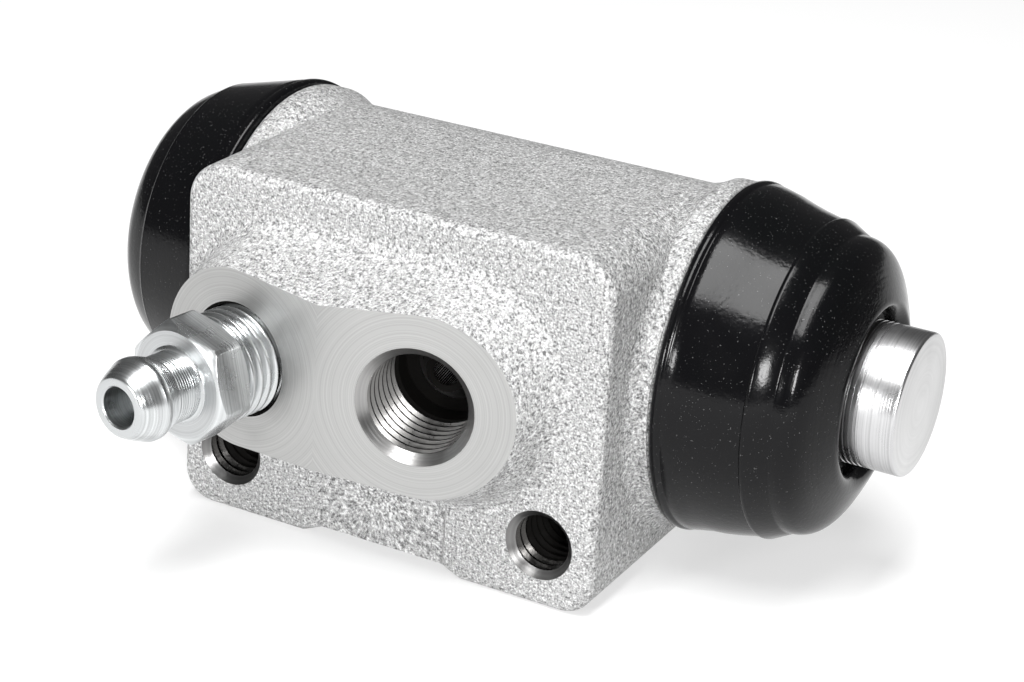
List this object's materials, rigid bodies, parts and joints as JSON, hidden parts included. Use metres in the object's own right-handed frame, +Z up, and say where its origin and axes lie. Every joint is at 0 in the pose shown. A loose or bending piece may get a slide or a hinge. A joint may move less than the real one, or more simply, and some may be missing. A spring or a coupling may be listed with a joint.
{
  "type": "wheel cylinder",
  "caption": "Double-ended drum brake wheel cylinder: iron body with two sliding pistons under rubber boots, an angled threaded inlet, a bleeder screw and threaded mounting holes.",
  "frame": {"origin": "middle of the two mounting holes, on the mounting face", "axes": "+X along the bore towards the right-hand piston, -Y out of the mounting face, +Z up"},
  "size_m": [0.079, 0.0578, 0.0347],
  "materials": {
    "cast_iron_body": "fine as-cast skin, machined facets and ends",
    "plated_steel": "turned and plated",
    "turned_aluminium": "turned, bright",
    "boot_rubber": "smooth, half gloss",
    "seal_rubber": "smooth",
    "spring_steel": "drawn wire"
  },
  "bodies": {
    "body": {"cylinder_body": "cast_iron_body", "boot_left": "boot_rubber", "boot_right": "boot_rubber", "return_spring": "spring_steel"},
    "left_piston": {"piston_left": "turned_aluminium", "cup_seal_left": "seal_rubber", "spring_seat_left": "plated_steel"},
    "right_piston": {"piston_right": "turned_aluminium", "cup_seal_right": "seal_rubber", "spring_seat_right": "plated_steel"},
    "bleeder": {"bleeder_screw": "plated_steel"}
  },
  "joints": [
    {"name": "left_piston_slide", "type": "slide", "parent": "body", "child": "left_piston", "axis": [-1, 0, 0], "range_m": [-0.0006, 0.0094], "deforming": ["boot_left", "return_spring"]},
    {"name": "right_piston_slide", "type": "slide", "parent": "body", "child": "right_piston", "axis": [1, 0, 0], "range_m": [-0.0006, 0.005], "deforming": ["boot_right", "return_spring"]},
    {"name": "bleeder_turn", "type": "hinge", "parent": "body", "child": "bleeder", "pos_m": [-0.0115, -0.00594, 0.0125], "axis": [-0.153, -0.9882, 0], "range_deg": [0, 270]}
  ]
}
